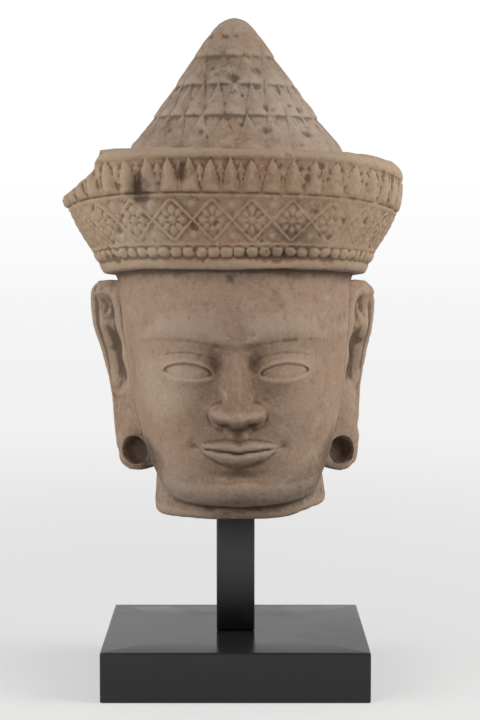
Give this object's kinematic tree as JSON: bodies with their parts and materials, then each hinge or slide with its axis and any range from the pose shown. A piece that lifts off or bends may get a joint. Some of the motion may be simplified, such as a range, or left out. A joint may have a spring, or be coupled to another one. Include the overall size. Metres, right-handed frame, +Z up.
{
  "type": "carved stone head sculpture",
  "caption": "Carved stone head with a flared diadem, tiered conical crown and long pierced ears, held on a square rod above a block plinth.",
  "frame": {"origin": "centre of the plinth's underside", "axes": "+Z up along the rod, the face looks towards -Y, +X towards the viewer's right"},
  "size_m": [0.2225, 0.2041, 0.434],
  "materials": {
    "sandstone": "weathered matt",
    "rod_steel": "satin",
    "plinth_lacquer": "black gloss lacquer"
  },
  "bodies": {
    "root": {"head": "sandstone", "rod": "rod_steel", "plinth": "plinth_lacquer"}
  },
  "joints": []
}
